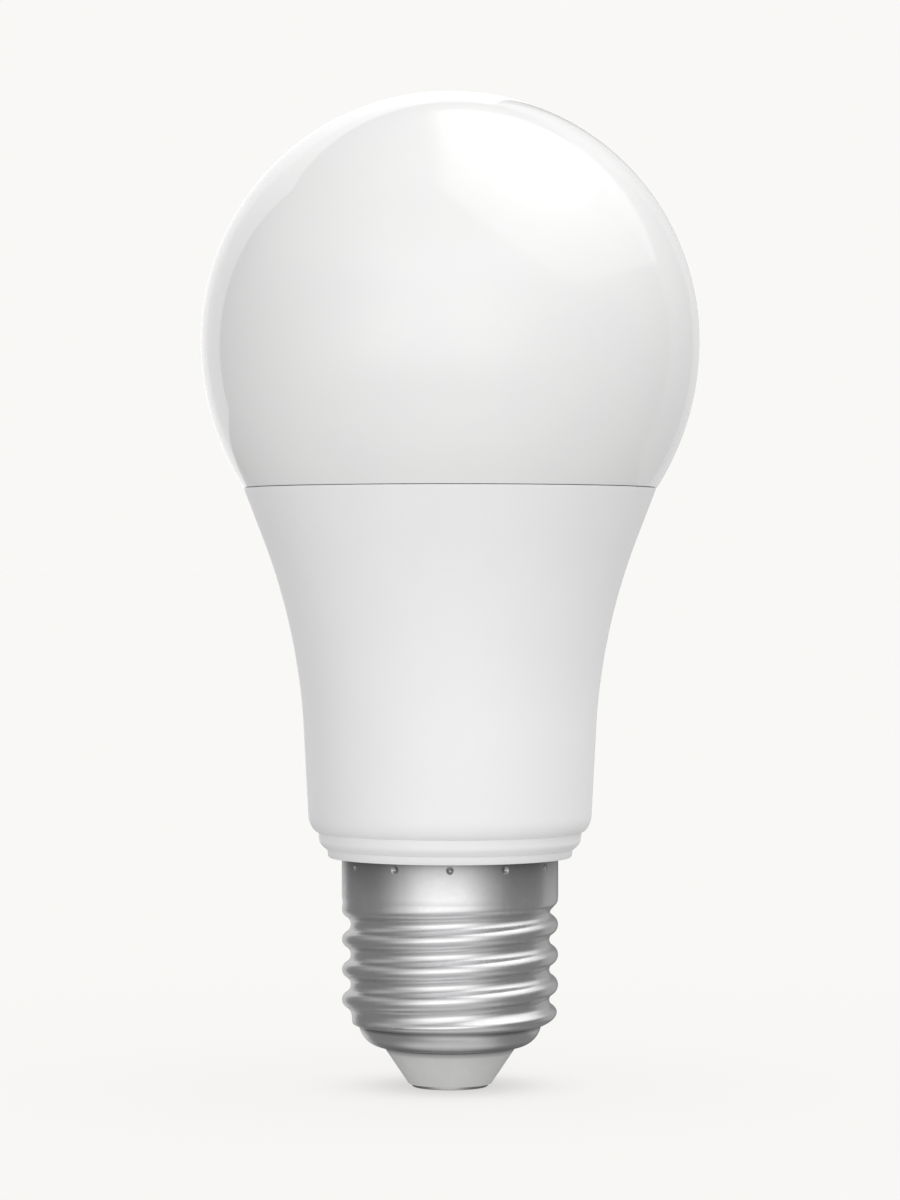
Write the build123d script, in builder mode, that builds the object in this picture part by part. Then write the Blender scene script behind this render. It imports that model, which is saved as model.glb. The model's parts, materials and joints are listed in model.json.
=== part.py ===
from build123d import *
from math import asin, cos, degrees, pi, radians, sin, sqrt, tan
import os

# A mains LED bulb with a radio, in millimetres. The axis is Z, and the underside of the centre
# contact is at Z = 0. A glossy opal globe sits on a waisted plastic housing with an Edison screw
# cap. Inside are an aluminium cup, a round LED board, a driver board on edge and a radio board.

# ---- driving dimensions ----

# globe: a ball that draws in a little more slowly below its widest place
globe_radius = 30.0
globe_height = 89.7
flank_radius = 32.9
globe_wall = 1.3
seam_height = 72.15
seam_gap = 0.22
neck_radius = 22.6
neck_bottom = 70.2

# housing: a drafted barrel, a long hollow curve and a straight flare up to the seam
barrel_draft = 3.0
flare_angle = 21.0
curve_radius = 75.0
curve_start = (17.61, 43.0)
barrel_bottom = 32.9
inner_bottom = 33.2
housing_wall = 1.4
socket_radius = 22.75
ledge_height = 69.4
housing_bottom = 27.65
foot_radius = 14.7
step_radius = 15.85
spigot_radius = 12.68
spigot_step = 22.95
tail_radius = 11.5
tail_bottom = 11.5
tail_bore = 9.9
floor_height = 29.6
floor_edge = 13.4
inner_corner = (14.3, 31.2)
foot_roll = (16.62, 31.25)
foot_shelf = (16.12, 30.75)
step_top = 30.62
step_bottom = (15.77, 29.75)
cove = (15.45, 29.1)
foot_top = (14.86, 28.62)
foot_break = (14.75, 28.35)
edge_break = 0.15
pocket_radius = 0.75
pocket_depth = 1.4
groove_depth = 1.05
groove_width = 1.3

# screw cap: the 27 mm Edison size, rolled from thin plated metal
cap_radius = 13.05
cap_wall = 0.32
cap_top = 27.6
thread_pitch = 3.629
thread_depth = 1.05
crest_height = 12.25
runout_top = 22.75
runout_length = 2.0
thread_bottom = 7.4
shoulder_height = 9.6
bowl_top_radius = 11.0
bowl_centre_height = 7.82
bowl_radius = 3.0
bowl_mouth = 7.75
dimple_count = 12
dimple_height = 26.85
dimple_radius = 0.42
dimple_depth = 0.28
bump_radius = 0.62
bump_length = 0.4
joint_step = 0.02

# insulator and centre contact
cone_top = (8.0, 4.78)
cone_bottom = (5.0, 0.36)
insulator_neck = 7.6
insulator_top = 6.6
lip_clearance = 0.05
flare_bottom = 8.45
flare_radius = 9.2
flare_height = 5.75
boss_radius = 3.9
rivet_radius = 2.5
rivet_thick = 0.3
contact_radius = 4.6
contact_thick = 0.36
shank_radius = 1.7
shank_bore = 0.9
shank_top = 7.6
shank_floor = 1.2
contact_break = 0.1

# heat sink and LED board, stacked from the cup's flange upwards
cup_wall = 1.0
cup_bottom = 34.0
cup_gap = 0.1
flange_height = 66.4
flange_inner = 15.4
spreader_radius = 20.8
spreader_thick = 1.5
board_radius = 20.3
pad_thick = 0.3
led_board_thick = 1.0
led_ring = 13.6
led_count = 24
led_size = (3.5, 2.8, 0.7)
screw_ring = 17.9
screw_count = 3
screw_radius = 1.25
screw_head = 2.2
slot_size = (13.6, 2.2)
slot_centre = 2.4
slot_corner = 1.0
lead_slot = (4.0, 2.4)
lead_slot_centre = -3.2
screw_clearance = 1.4

# driver
sleeve_radius = 13.9
sleeve_wall = 0.7
sleeve_bottom = 30.65
sleeve_top = 62.0
sleeve_mouth = 9.4
driver_width = 25.0
driver_bottom = 31.2
driver_top = 60.5
driver_tail_width = 17.6
driver_tail_bottom = 13.0
driver_thick = 1.6
driver_corner = 0.6
wire_radius = 0.45

# radio board, behind the driver board and up through the slot into the globe
radio_width = 12.4
radio_thick = 0.8
radio_front = 2.0
radio_bottom = 51.0
radio_top = 79.0
header_height = 53.4
header_pitch = 2.0
header_count = 5
header_radius = 0.28
header_hole = 0.3

face_back = driver_thick / 2
face_front = -driver_thick / 2
pad_height = flange_height + spreader_thick
led_board_bottom = pad_height + pad_thick
led_board_top = led_board_bottom + led_board_thick
radio_back = radio_front + radio_thick

# the centre of the housing's long curve, outside the bulb
curve_centre = (
    curve_start[0] + curve_radius * cos(radians(barrel_draft)),
    curve_start[1] - curve_radius * sin(radians(barrel_draft)),
)
parts_folder = "parts"
os.makedirs(parts_folder, exist_ok=True)


def save(part, name):
    """Label a finished piece and write it."""
    part.label = name
    export_step(part, f"{parts_folder}/{name}.step")


def on_curve(angle, inset):
    """A point of the housing's long curve, set inwards by inset."""
    reach = curve_radius + inset
    return (
        curve_centre[0] - reach * cos(radians(angle)),
        curve_centre[1] + reach * sin(radians(angle)),
    )


def along(point, angle, height):
    """The point at a height on the straight line through point at an angle from the axis."""
    return (point[0] + (height - point[1]) * tan(radians(angle)), height)


def side_point(height, inset=0.0):
    """The point of the housing's side at a height, set inwards by inset."""
    start = on_curve(barrel_draft, inset)
    end = on_curve(flare_angle, inset)
    if height < start[1]:
        return along(start, barrel_draft, height)
    if height > end[1]:
        return along(end, flare_angle, height)
    angle = degrees(asin((height - curve_centre[1]) / (curve_radius + inset)))
    return on_curve(angle, inset)


def housing_side(low, high, inset=0.0):
    """The housing's side from one height up to another, for the BuildLine it is called in."""
    start = on_curve(barrel_draft, inset)
    end = side_point(min(high, on_curve(flare_angle, inset)[1]), inset)
    Line(side_point(low, inset), start)
    ThreePointArc(start, side_point((start[1] + end[1]) / 2, inset), end)
    if high > end[1]:
        Line(end, side_point(high, inset))


# ---- globe ----

globe_bottom = seam_height + seam_gap / 2
flank_centre = globe_radius - flank_radius


def flank_point(height, inset):
    """A point below the widest place of the globe, set inwards by inset."""
    drop = globe_height - height
    return (flank_centre + sqrt((flank_radius - inset) ** 2 - drop**2), height)


def globe_arcs(low, inset):
    """The globe's profile from its top down to a height, for the BuildLine it is called in."""
    radius = globe_radius - inset
    diagonal = radius * cos(pi / 4)
    widest = (radius, globe_height)
    ThreePointArc((0, globe_height + radius), (diagonal, globe_height + diagonal), widest)
    ThreePointArc(widest, flank_point((globe_height + low) / 2, inset), flank_point(low, inset))


with BuildPart() as diffuser_globe:
    with BuildSketch(Plane.XZ):
        with BuildLine():
            globe_arcs(globe_bottom, 0)
            inner_end = globe_bottom + globe_wall
            neck_inner = neck_radius - globe_wall
            Polyline(
                flank_point(globe_bottom, 0),
                (neck_radius, globe_bottom),
                (neck_radius, neck_bottom),
                (neck_inner, neck_bottom),
                (neck_inner, globe_bottom),
                flank_point(inner_end, globe_wall),
            )
            globe_arcs(inner_end, globe_wall)
            Line((0, globe_height + globe_radius - globe_wall), (0, globe_height + globe_radius))
        make_face()
    revolve()
save(diffuser_globe.part, "diffuser_globe")

# the bead of sealant under the globe's neck
with BuildPart() as diffuser_seal:
    with BuildSketch(Plane.XY.offset(ledge_height)):
        Circle(neck_radius)
        Circle(neck_radius - globe_wall, mode=Mode.SUBTRACT)
    extrude(amount=neck_bottom - ledge_height)
    bead_round = 0.25
    fillet(diffuser_seal.edges().group_by(Axis.Z)[0], bead_round)
save(diffuser_seal.part, "diffuser_seal")

# ---- housing ----

with BuildPart() as body_housing:
    with BuildSketch(Plane.XZ):
        rim_height = seam_height - seam_gap / 2
        outer_low = side_point(barrel_bottom)
        with BuildLine():
            # outside, from the seam down over the two steps of the foot
            housing_side(barrel_bottom, rim_height)
            Spline(
                outer_low,
                foot_roll,
                foot_shelf,
                tangents=[(-sin(radians(barrel_draft)), -1), (-1, -0.55)],
            )
            Polyline(foot_shelf, (step_radius, step_top), step_bottom)
            Spline(step_bottom, cove, foot_top, tangents=[(0, -1), (-1, -0.35)])
            Polyline(
                foot_top,
                foot_break,
                (foot_radius, housing_bottom + edge_break),
                (foot_radius - edge_break, housing_bottom),
                (spigot_radius, housing_bottom),
                (spigot_radius, spigot_step),
                (tail_radius, spigot_step),
                (tail_radius, tail_bottom),
                (tail_bore, tail_bottom),
                (tail_bore, floor_height),
                (floor_edge, floor_height),
                inner_corner,
                side_point(inner_bottom, housing_wall),
            )
            housing_side(inner_bottom, ledge_height, housing_wall)
            Polyline(
                side_point(ledge_height, housing_wall),
                (socket_radius, ledge_height),
                (socket_radius, rim_height),
                side_point(rim_height),
            )
        make_face()
    revolve()
    # pockets for the dimples that lock the cap on
    with Locations((0, 0, dimple_height)):
        with PolarLocations(spigot_radius, dimple_count, start_angle=-90):
            Cylinder(pocket_radius, pocket_depth, rotation=(0, 90, 0), mode=Mode.SUBTRACT)
    # the groove for the neutral wire, down the outside of the tail
    with Locations((-tail_radius, 0, (spigot_step + tail_bottom) / 2)):
        Box(2 * groove_depth, groove_width, spigot_step - tail_bottom, mode=Mode.SUBTRACT)
save(body_housing.part, "body_housing")

# ---- screw cap ----

knuckle_rise = thread_depth / 2
knuckle_run = thread_pitch / 4
knuckle_radius = (knuckle_rise**2 + knuckle_run**2) / (2 * knuckle_rise)


def knuckle_sag(distance):
    """How far a crest or root has fallen away at a distance from its middle."""
    return knuckle_radius - sqrt(knuckle_radius**2 - distance**2)


def thread_radius(turn, height):
    """The rolled thread's outer radius at an angle, in turns from +X, and a height.

    Crests and roots are equal arcs. The groove runs out under the plain collar, and the
    whole thread draws in over a rounded shoulder towards the bowl.
    """
    phase = (height - crest_height) / thread_pitch - turn
    distance = abs(phase - round(phase)) * thread_pitch
    if distance < knuckle_run:
        fall = knuckle_sag(distance)
    else:
        fall = thread_depth - knuckle_sag(thread_pitch / 2 - distance)
    ramp = min(1.0, (runout_top - height) / runout_length)
    radius = cap_radius - joint_step - fall * ramp**2 * (3 - 2 * ramp)
    if height < shoulder_height:
        reach = (shoulder_height - height) / (shoulder_height - thread_bottom)
        draw = sqrt(max(0.0, 1 - reach**2))
        floor_radius = bowl_top_radius - joint_step
        radius = floor_radius + (radius - floor_radius) * draw
    return radius


def thread_heights():
    """Section heights, close together where the shoulder curves."""
    shoulder = shoulder_height - thread_bottom
    heights = [shoulder_height - shoulder * cos(radians(angle)) for angle in range(0, 90, 9)]
    count = 60
    step = (runout_top - shoulder_height) / count
    return heights + [shoulder_height + step * index for index in range(count + 1)]


def thread_ring(height, inset):
    """A section of the thread at a height, as one closed curve."""
    points = 32
    turns = [index / points for index in range(points + 1)]
    ring = []
    for turn in turns[:-1]:
        radius = thread_radius(turn, height) - inset
        ring.append((radius * cos(2 * pi * turn), radius * sin(2 * pi * turn)))
    return Edge.make_spline(ring, periodic=True, parameters=turns)


def threaded_solid(inset):
    """A solid inside the thread's surface, set inwards by inset."""
    with BuildPart() as threaded:
        for height in thread_heights():
            with BuildSketch(Plane.XY.offset(height)):
                with BuildLine():
                    add(thread_ring(height, inset))
                make_face()
        loft()
    return threaded.part


thread_outside = threaded_solid(0)
thread_inside = threaded_solid(cap_wall - 2 * joint_step)


def bowl_point(angle, radius):
    """A point of the bowl's round, at an angle below the level of its centre."""
    middle = bowl_top_radius - sqrt(bowl_radius**2 - (bowl_centre_height - thread_bottom) ** 2)
    return (middle + radius * cos(radians(angle)), bowl_centre_height - radius * sin(radians(angle)))


with BuildPart() as screw_cap:
    add(thread_outside)
    add(thread_inside, mode=Mode.SUBTRACT)
    with BuildSketch(Plane.XY.offset(runout_top)):
        Circle(cap_radius)
        Circle(cap_radius - cap_wall, mode=Mode.SUBTRACT)
    extrude(amount=cap_top - runout_top)
    # the bowl, with its lip rolled in round the insulator
    with BuildSketch(Plane.XZ):
        bowl_inner = bowl_radius - cap_wall
        with BuildLine():
            inner_top = (bowl_top_radius - cap_wall, thread_bottom)
            Line((bowl_top_radius, thread_bottom), inner_top)
            ThreePointArc(inner_top, bowl_point(45, bowl_inner), bowl_point(90, bowl_inner))
            Polyline(
                bowl_point(90, bowl_inner),
                (bowl_mouth, bowl_centre_height - bowl_inner),
                (bowl_mouth, bowl_centre_height - bowl_radius),
                bowl_point(90, bowl_radius),
            )
            ThreePointArc(
                bowl_point(90, bowl_radius),
                bowl_point(45, bowl_radius),
                (bowl_top_radius, thread_bottom),
            )
        make_face()
    revolve()
    # dimples, each with its bump on the inside
    dimple_ball = 1.12 * dimple_radius
    with Locations((0, 0, dimple_height)):
        with PolarLocations(cap_radius - cap_wall - 0.1, dimple_count, start_angle=-90):
            Cylinder(bump_radius, bump_length, rotation=(0, 90, 0))
        with PolarLocations(cap_radius - dimple_depth + dimple_radius, dimple_count, start_angle=-90):
            Sphere(dimple_ball, mode=Mode.SUBTRACT)
save(screw_cap.part, "screw_cap")

# ---- insulator and centre contact ----

lip_top = bowl_centre_height - bowl_radius + cap_wall
with BuildPart() as cap_insulator:
    with BuildSketch(Plane.XZ):
        with BuildLine():
            Polyline(
                (shank_radius, cone_bottom[1]),
                cone_bottom,
                cone_top,
                (insulator_neck, cone_top[1]),
                (insulator_neck, lip_top + lip_clearance),
                (flare_bottom, lip_top + lip_clearance),
                (flare_radius, flare_height),
                (flare_radius, insulator_top),
                (boss_radius, insulator_top),
                (boss_radius, shank_top - rivet_thick),
                (shank_radius, shank_top - rivet_thick),
                (shank_radius, cone_bottom[1]),
            )
        make_face()
    revolve()
save(cap_insulator.part, "cap_insulator")

with BuildPart() as centre_contact:
    with BuildSketch(Plane.XZ):
        with BuildLine():
            Polyline(
                (0, 0),
                (contact_radius - contact_break, 0),
                (contact_radius, contact_break),
                (contact_radius, contact_thick),
                (shank_radius, contact_thick),
                (shank_radius, shank_top - rivet_thick),
                (rivet_radius, shank_top - rivet_thick),
                (rivet_radius, shank_top),
                (shank_bore, shank_top),
                (shank_bore, shank_floor),
                (0, shank_floor),
                (0, 0),
            )
        make_face()
    revolve()
save(centre_contact.part, "centre_contact")

# ---- heat sink, pad and LED board ----

with BuildPart() as heat_sink_cup:
    with BuildSketch(Plane.XZ):
        outer_inset = housing_wall + cup_gap
        inner_inset = outer_inset + cup_wall
        flange_bottom = flange_height - cup_wall
        with BuildLine():
            housing_side(cup_bottom, flange_height, outer_inset)
            Polyline(
                side_point(flange_height, outer_inset),
                (flange_inner, flange_height),
                (flange_inner, flange_bottom),
                side_point(flange_bottom, inner_inset),
            )
            housing_side(cup_bottom, flange_bottom, inner_inset)
            Line(side_point(cup_bottom, inner_inset), side_point(cup_bottom, outer_inset))
        make_face()
    revolve()
    with Locations((0, 0, flange_height)):
        with PolarLocations(screw_ring, screw_count, start_angle=90):
            Hole(screw_radius + joint_step, depth=cup_wall)
save(heat_sink_cup.part, "heat_sink_cup")


def round_plate(radius, bottom, thick, hole_radius):
    """A disc with the screw holes and the slot that the radio board passes through."""
    with BuildPart() as plate:
        with BuildSketch(Plane.XY.offset(bottom)):
            Circle(radius)
            with PolarLocations(screw_ring, screw_count, start_angle=90):
                Circle(hole_radius, mode=Mode.SUBTRACT)
            with Locations((0, slot_centre)):
                RectangleRounded(*slot_size, slot_corner, mode=Mode.SUBTRACT)
            with Locations((0, lead_slot_centre)):
                SlotCenterToCenter(*lead_slot, mode=Mode.SUBTRACT)
        extrude(amount=thick)
    return plate.part


save(round_plate(spreader_radius, flange_height, spreader_thick, screw_clearance), "heat_spreader")
save(round_plate(board_radius, pad_height, pad_thick, screw_clearance + 0.2), "thermal_pad")
save(round_plate(board_radius, led_board_bottom, led_board_thick, screw_clearance), "led_board")

window_size = (2.7, 2.0)
window_depth = 0.35
with BuildPart() as led_frames:
    with Locations((0, 0, led_board_top)):
        with PolarLocations(led_ring, led_count):
            Box(*led_size, align=(Align.CENTER, Align.CENTER, Align.MIN))
    with Locations((0, 0, led_board_top + led_size[2])):
        with PolarLocations(led_ring, led_count):
            Box(*window_size, 2 * window_depth, mode=Mode.SUBTRACT)
save(led_frames.part, "led_frames")


def phosphor_windows(first):
    """The filled windows of every second LED package."""
    with BuildPart() as windows:
        with Locations((0, 0, led_board_top + led_size[2] - window_depth)):
            with PolarLocations(led_ring, led_count // 2, start_angle=first):
                Box(*window_size, window_depth, align=(Align.CENTER, Align.CENTER, Align.MIN))
    return windows.part


save(phosphor_windows(0), "warm_phosphors")
save(phosphor_windows(360 / led_count), "cool_phosphors")

# M2.5 pan-head screws with a cross recess, tapped into the cup's flange
head_height = 1.6
head_round = 0.7
screw_length = 4.6
recess = (2.3, 0.5, 1.6)
with BuildPart() as board_screws:
    with Locations((0, 0, led_board_top)):
        with PolarLocations(screw_ring, screw_count, start_angle=90):
            Cylinder(screw_head, head_height, align=(Align.CENTER, Align.CENTER, Align.MIN))
    fillet(board_screws.edges().group_by(Axis.Z)[-1], head_round)
    with Locations((0, 0, led_board_top)):
        with PolarLocations(screw_ring, screw_count, start_angle=90):
            Cylinder(screw_radius, screw_length, align=(Align.CENTER, Align.CENTER, Align.MAX))
    with Locations((0, 0, led_board_top + head_height)):
        with PolarLocations(screw_ring, screw_count, start_angle=90):
            Box(*recess, mode=Mode.SUBTRACT)
            Box(*recess, rotation=(0, 0, 90), mode=Mode.SUBTRACT)
save(board_screws.part, "board_screws")

# two-pole connector beside the slots, its mouth facing the centre
connector_centre = (0, -7.6)
connector_size = (6.4, 4.2, 2.8)
connector_corner = 0.3
pole = 1.5
mouth_size = (1.9, 3.6, 1.6)
mouth_shift = 0.8
mouth_height = 0.5
blade_size = (1.5, 2.4, 0.3)
blade_shift = 0.3
tail_size = (1.0, 1.0, 0.25)
tail_shift = -2.6
standing = (Align.CENTER, Align.CENTER, Align.MIN)
with BuildPart() as led_connector:
    with Locations((*connector_centre, led_board_top)):
        Box(*connector_size, align=standing)
    fillet(led_connector.edges().filter_by(Axis.Z), connector_corner)
    for side in (-1, 1):
        mouth = (side * pole, connector_centre[1] + mouth_shift, led_board_top + mouth_height)
        with Locations(mouth):
            Box(*mouth_size, align=standing, mode=Mode.SUBTRACT)
save(led_connector.part, "led_connector")

with BuildPart() as connector_terminals:
    for side in (-1, 1):
        blade = (side * pole, connector_centre[1] + blade_shift, led_board_top + mouth_height)
        with Locations(blade):
            Box(*blade_size, align=standing)
        with Locations((side * pole, connector_centre[1] + tail_shift, led_board_top)):
            Box(*tail_size, align=standing)
save(connector_terminals.part, "connector_terminals")

# ---- driver ----

with BuildPart() as driver_sleeve:
    with BuildSketch(Plane.XY.offset(sleeve_bottom)):
        Circle(sleeve_radius)
        Circle(sleeve_radius - sleeve_wall, mode=Mode.SUBTRACT)
    extrude(amount=sleeve_top - sleeve_bottom)
    with BuildSketch(Plane.XY.offset(sleeve_top - sleeve_wall)):
        Circle(sleeve_radius - sleeve_wall)
        Circle(sleeve_mouth, mode=Mode.SUBTRACT)
    extrude(amount=sleeve_wall)
save(driver_sleeve.part, "driver_sleeve")

with BuildPart() as driver_board:
    with BuildSketch(Plane.XZ.offset(face_front)):
        half = driver_width / 2
        tail_half = driver_tail_width / 2
        with BuildLine():
            Polyline(
                (-half, driver_bottom),
                (-half, driver_top),
                (half, driver_top),
                (half, driver_bottom),
                (tail_half, driver_bottom),
                (tail_half, driver_tail_bottom),
                (-tail_half, driver_tail_bottom),
                (-tail_half, driver_bottom),
                (-half, driver_bottom),
            )
        make_face()
    extrude(amount=driver_thick)
    fillet(driver_board.edges().filter_by(Axis.Y), driver_corner)
    with BuildSketch(Plane.XZ.offset(face_front)):
        with Locations((0, header_height)):
            with GridLocations(header_pitch, 1, header_count, 1):
                Circle(header_hole)
    extrude(amount=driver_thick, mode=Mode.SUBTRACT)
save(driver_board.part, "driver_board")


def bent_wire(points, radius, bend):
    """A round wire through points, with a bend radius at each corner."""
    with BuildPart() as wire:
        with BuildLine() as route:
            FilletPolyline(*points, radius=bend)
        with BuildSketch(Plane(origin=route.line @ 0, z_dir=route.line % 0)):
            Circle(radius)
        sweep()
    return wire.part


# fusible resistor: a round body along the front of the tail, its two leads bent in to the board
fuse_place = (-4.2, -3.9)
fuse_ends = (17.5, 27.0)
fuse_radius = 1.9
lead_radius = 0.3
lead_reach = 1.8
lead_bend = 0.7
with BuildPart() as fuse_resistor:
    with Locations((*fuse_place, sum(fuse_ends) / 2)):
        Cylinder(fuse_radius, fuse_ends[1] - fuse_ends[0])
    fillet(fuse_resistor.edges(), fuse_radius * 0.3)
    for end, out in zip(fuse_ends, (-1, 1)):
        with BuildLine() as lead:
            FilletPolyline(
                (*fuse_place, end - out * lead_radius),
                (*fuse_place, end + out * lead_reach),
                (fuse_place[0], face_front, end + out * lead_reach),
                radius=lead_bend,
            )
        with BuildSketch(Plane(origin=lead.line @ 0, z_dir=lead.line % 0)):
            Circle(lead_radius)
        sweep()
save(fuse_resistor.part, "fuse_resistor")


def straight_leads(x, spread, height, length):
    """Two leads standing out of the back of the board, for the BuildPart they are called in."""
    for side in (-1, 1):
        with Locations((x + side * spread, face_back, height)):
            Cylinder(
                lead_radius,
                length,
                rotation=(90, 0, 0),
                align=(Align.CENTER, Align.CENTER, Align.MAX),
            )


# varistor: a coated disc standing off the tail of the board
varistor_place = (2.6, 22.5)
varistor_radius = 3.4
varistor_front = 2.4
varistor_thick = 2.6
with BuildPart() as varistor:
    with BuildSketch(Plane.XZ.offset(-varistor_front)):
        with Locations(varistor_place):
            Circle(varistor_radius)
    extrude(amount=-varistor_thick)
    fillet(varistor.edges(), 0.9)
    straight_leads(x=varistor_place[0], spread=1.6, height=20.2, length=2.4)
save(varistor.part, "varistor")


def flat_chip(centre, size, leads, lead_size):
    """A moulded chip flat on the board's front, with gull leads on its left and right sides."""
    standoff = 0.1
    with BuildPart() as chip:
        with Locations((centre[0], face_front - size[1] / 2 - standoff, centre[1])):
            Box(*size)
        chamfer(chip.edges().filter_by(Axis.Z), 0.15)
        span = size[2] * 0.72
        for index in range(leads):
            height = centre[1] - span / 2 + span * index / max(1, leads - 1)
            for end in (-1, 1):
                x = centre[0] + end * (size[0] / 2 + lead_size[0] / 2)
                with Locations((x, face_front - lead_size[1] / 2, height)):
                    Box(*lead_size)
                with Locations((centre[0] + end * size[0] / 2, face_front - size[1] / 4, height)):
                    Box(0.3, size[1] / 2, lead_size[2])
    return chip.part


bridge_rectifier = flat_chip(
    centre=(4.2, 26.6), size=(4.0, 1.6, 4.8), leads=2, lead_size=(1.0, 0.25, 0.7)
)
save(bridge_rectifier, "bridge_rectifier")
driver_chip = flat_chip(
    centre=(-8.0, 54.5), size=(3.9, 1.5, 4.9), leads=4, lead_size=(1.0, 0.22, 0.42)
)
save(driver_chip, "driver_chip")

# film capacitor: a dipped box on the back of the board
film_centre = (6.4, 4.1, 36.6)
film_size = (8.0, 4.8, 8.4)
with BuildPart() as film_capacitor:
    with Locations(film_centre):
        Box(*film_size)
    fillet(film_capacitor.edges(), 0.8)
    straight_leads(x=film_centre[0], spread=2.6, height=33.2, length=1.2)
save(film_capacitor.part, "film_capacitor")


def can_capacitor(x, y, bottom, radius, height):
    """An electrolytic can along the board, with its crimp groove, scored top and leads."""
    groove = 1.55
    groove_half = 0.35
    edge = 0.4
    lead_side = 1.4
    lead_drop = -1.3
    with BuildPart() as can:
        with BuildSketch(Plane.XZ):
            with BuildLine():
                Polyline(
                    (0, 0.3),
                    (radius * 0.8, 0.3),
                    (radius * 0.8, 0),
                    (radius, 0.3),
                    (radius, groove - groove_half),
                    (radius - groove_half, groove),
                    (radius, groove + groove_half),
                    (radius, height - edge),
                    (radius - edge, height),
                    (radius - 2 * edge, height - edge / 2),
                    (0, height - edge / 2),
                    (0, 0.3),
                )
            make_face()
        revolve()
        with Locations((0, 0, height)):
            Box(radius * 1.3, 0.3, 0.7, mode=Mode.SUBTRACT)
            Box(0.3, radius * 1.3, 0.7, mode=Mode.SUBTRACT)
        for side in (-1, 1):
            with BuildLine() as lead:
                FilletPolyline(
                    (side * lead_side, 0, 0.5),
                    (side * lead_side, 0, lead_drop),
                    (side * lead_side, face_back - y, lead_drop),
                    radius=0.8,
                )
            with BuildSketch(Plane(origin=lead.line @ 0, z_dir=lead.line % 0)):
                Circle(0.28)
            sweep()
    return can.part.moved(Location((x, y, bottom)))


input_can = can_capacitor(x=-6.0, y=5.6, bottom=34.0, radius=4.6, height=14.0)
save(input_can, "input_capacitor")
output_can = can_capacitor(x=6.4, y=4.8, bottom=42.6, radius=3.6, height=7.6)
save(output_can, "output_capacitor")

# drum choke near the foot of the board
choke_centre = (6.2, -5.4)
choke_bottom = 31.6
choke_height = 8.0
choke_flange = 3.9
choke_flange_thick = 1.2
choke_post = 1.7
choke_wire = 0.5
choke_ends = 1.6
with BuildPart() as choke_core:
    with BuildSketch(Plane.XZ):
        with BuildLine():
            Polyline(
                (0, 0),
                (choke_flange, 0),
                (choke_flange, choke_flange_thick),
                (choke_post, choke_flange_thick),
                (choke_post, choke_height - choke_flange_thick),
                (choke_flange, choke_height - choke_flange_thick),
                (choke_flange, choke_height),
                (0, choke_height),
                (0, 0),
            )
        make_face()
    revolve()
save(choke_core.part.moved(Location((*choke_centre, choke_bottom))), "choke_core")

with BuildPart() as choke_winding:
    with BuildSketch(Plane.XZ):
        winding_room = choke_height - 2 * choke_flange_thick
        winding_thick = 1.4
        with Locations((choke_post + winding_thick / 2, choke_height / 2)):
            Rectangle(winding_thick, winding_room)
        for turn in range(int(winding_room / choke_wire)):
            height = choke_flange_thick + choke_wire * (turn + 0.5)
            with Locations((choke_post + winding_thick, height)):
                Circle(choke_wire / 2)
    revolve(axis=Axis.Z)
    choke_gap = face_front - choke_centre[1]
    tail_start = 2.6
    for height in (choke_ends, choke_height - choke_ends):
        with Locations((0, tail_start, height)):
            Cylinder(
                choke_wire / 2,
                choke_gap - tail_start,
                rotation=(-90, 0, 0),
                align=(Align.CENTER, Align.CENTER, Align.MIN),
            )
save(choke_winding.part.moved(Location((*choke_centre, choke_bottom))), "choke_winding")

# transformer: two E cores on a bobbin whose pins stand in the board
core_centre = Vector(-2.6, -6.7, 46.2)
core_width = 13.0
core_height = 12.0
core_depth = 5.0
leg_width = 3.2
yoke = 2.2
core_joint = 0.12
with BuildPart() as transformer_core:
    with BuildSketch(Plane.XZ):
        Rectangle(core_width, core_height)
        window = (core_width - leg_width - 2 * yoke) / 2
        for side in (-1, 1):
            with Locations((side * (leg_width + window) / 2, 0)):
                Rectangle(window, core_height - 2 * yoke, mode=Mode.SUBTRACT)
    extrude(amount=core_depth / 2, both=True)
    # the joint between the two E halves
    Box(core_width, core_depth, core_joint, mode=Mode.SUBTRACT)
save(transformer_core.part.moved(Location(core_centre)), "transformer_core")

bobbin_bore = (leg_width + 0.1, core_depth + 0.1)
bobbin_tube = (leg_width + 1.1, core_depth + 1.1)
bobbin_flange = (8.2, 8.8)
bobbin_height = core_height - 2 * yoke - 0.1
flange_thick = 0.7
rail_depth = 1.8
rail_height = (bobbin_height - flange_thick) / 2
rail_gap = face_front - core_centre.Y
with BuildPart() as transformer_bobbin:
    Box(*bobbin_tube, bobbin_height)
    for side in (-1, 1):
        with Locations((0, 0, side * rail_height)):
            Box(*bobbin_flange, flange_thick)
    Box(*bobbin_bore, bobbin_height, mode=Mode.SUBTRACT)
    for side in (-1, 1):
        with Locations((0, rail_gap - rail_depth / 2, side * rail_height)):
            Box(bobbin_flange[0], rail_depth, flange_thick)
save(transformer_bobbin.part.moved(Location(core_centre)), "transformer_bobbin")

# the flat feet of the bobbin's pins, soldered to the front of the board
foot_size = (0.7, 0.3, 1.3)
foot_pitch = 2.1
foot_count = 4
with BuildPart() as bobbin_pins:
    for side in (-1, 1):
        foot_height = side * (bobbin_height + foot_size[2]) / 2
        with Locations((0, rail_gap - foot_size[1] / 2, foot_height)):
            with GridLocations(foot_pitch, 1, foot_count, 1):
                Box(*foot_size)
save(bobbin_pins.part.moved(Location(core_centre)), "bobbin_pins")

with BuildPart() as transformer_winding:
    winding_height = bobbin_height - 2 * flange_thick
    Box(7.6, 8.4, winding_height)
    fillet(transformer_winding.edges().filter_by(Axis.Z), 1.2)
    Box(*bobbin_tube, winding_height, mode=Mode.SUBTRACT)
save(transformer_winding.part.moved(Location(core_centre)), "transformer_winding")

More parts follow.
